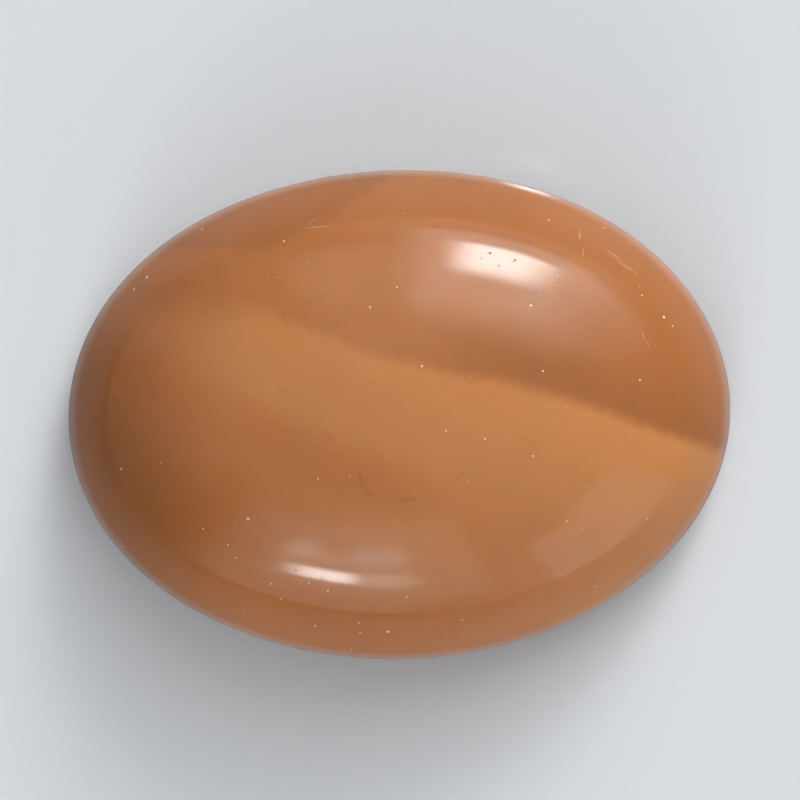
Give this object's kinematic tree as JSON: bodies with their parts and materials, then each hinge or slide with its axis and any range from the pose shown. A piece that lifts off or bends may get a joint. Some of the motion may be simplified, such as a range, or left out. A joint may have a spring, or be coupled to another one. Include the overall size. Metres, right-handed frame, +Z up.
{
  "type": "opal cabochon",
  "caption": "Oval domed opal cabochon, brown and banded, polished all over, with a low rounded back that rests on a small flat spot.",
  "frame": {"origin": "centre of the small flat spot under the stone, on the surface it rests on", "axes": "+X along the stone's length, +Y across its width, +Z up through the summit of the dome"},
  "size_m": [0.03, 0.0221, 0.0085],
  "materials": {
    "opal": "polished"
  },
  "bodies": {
    "root": {"cabochon": "opal"}
  },
  "joints": []
}
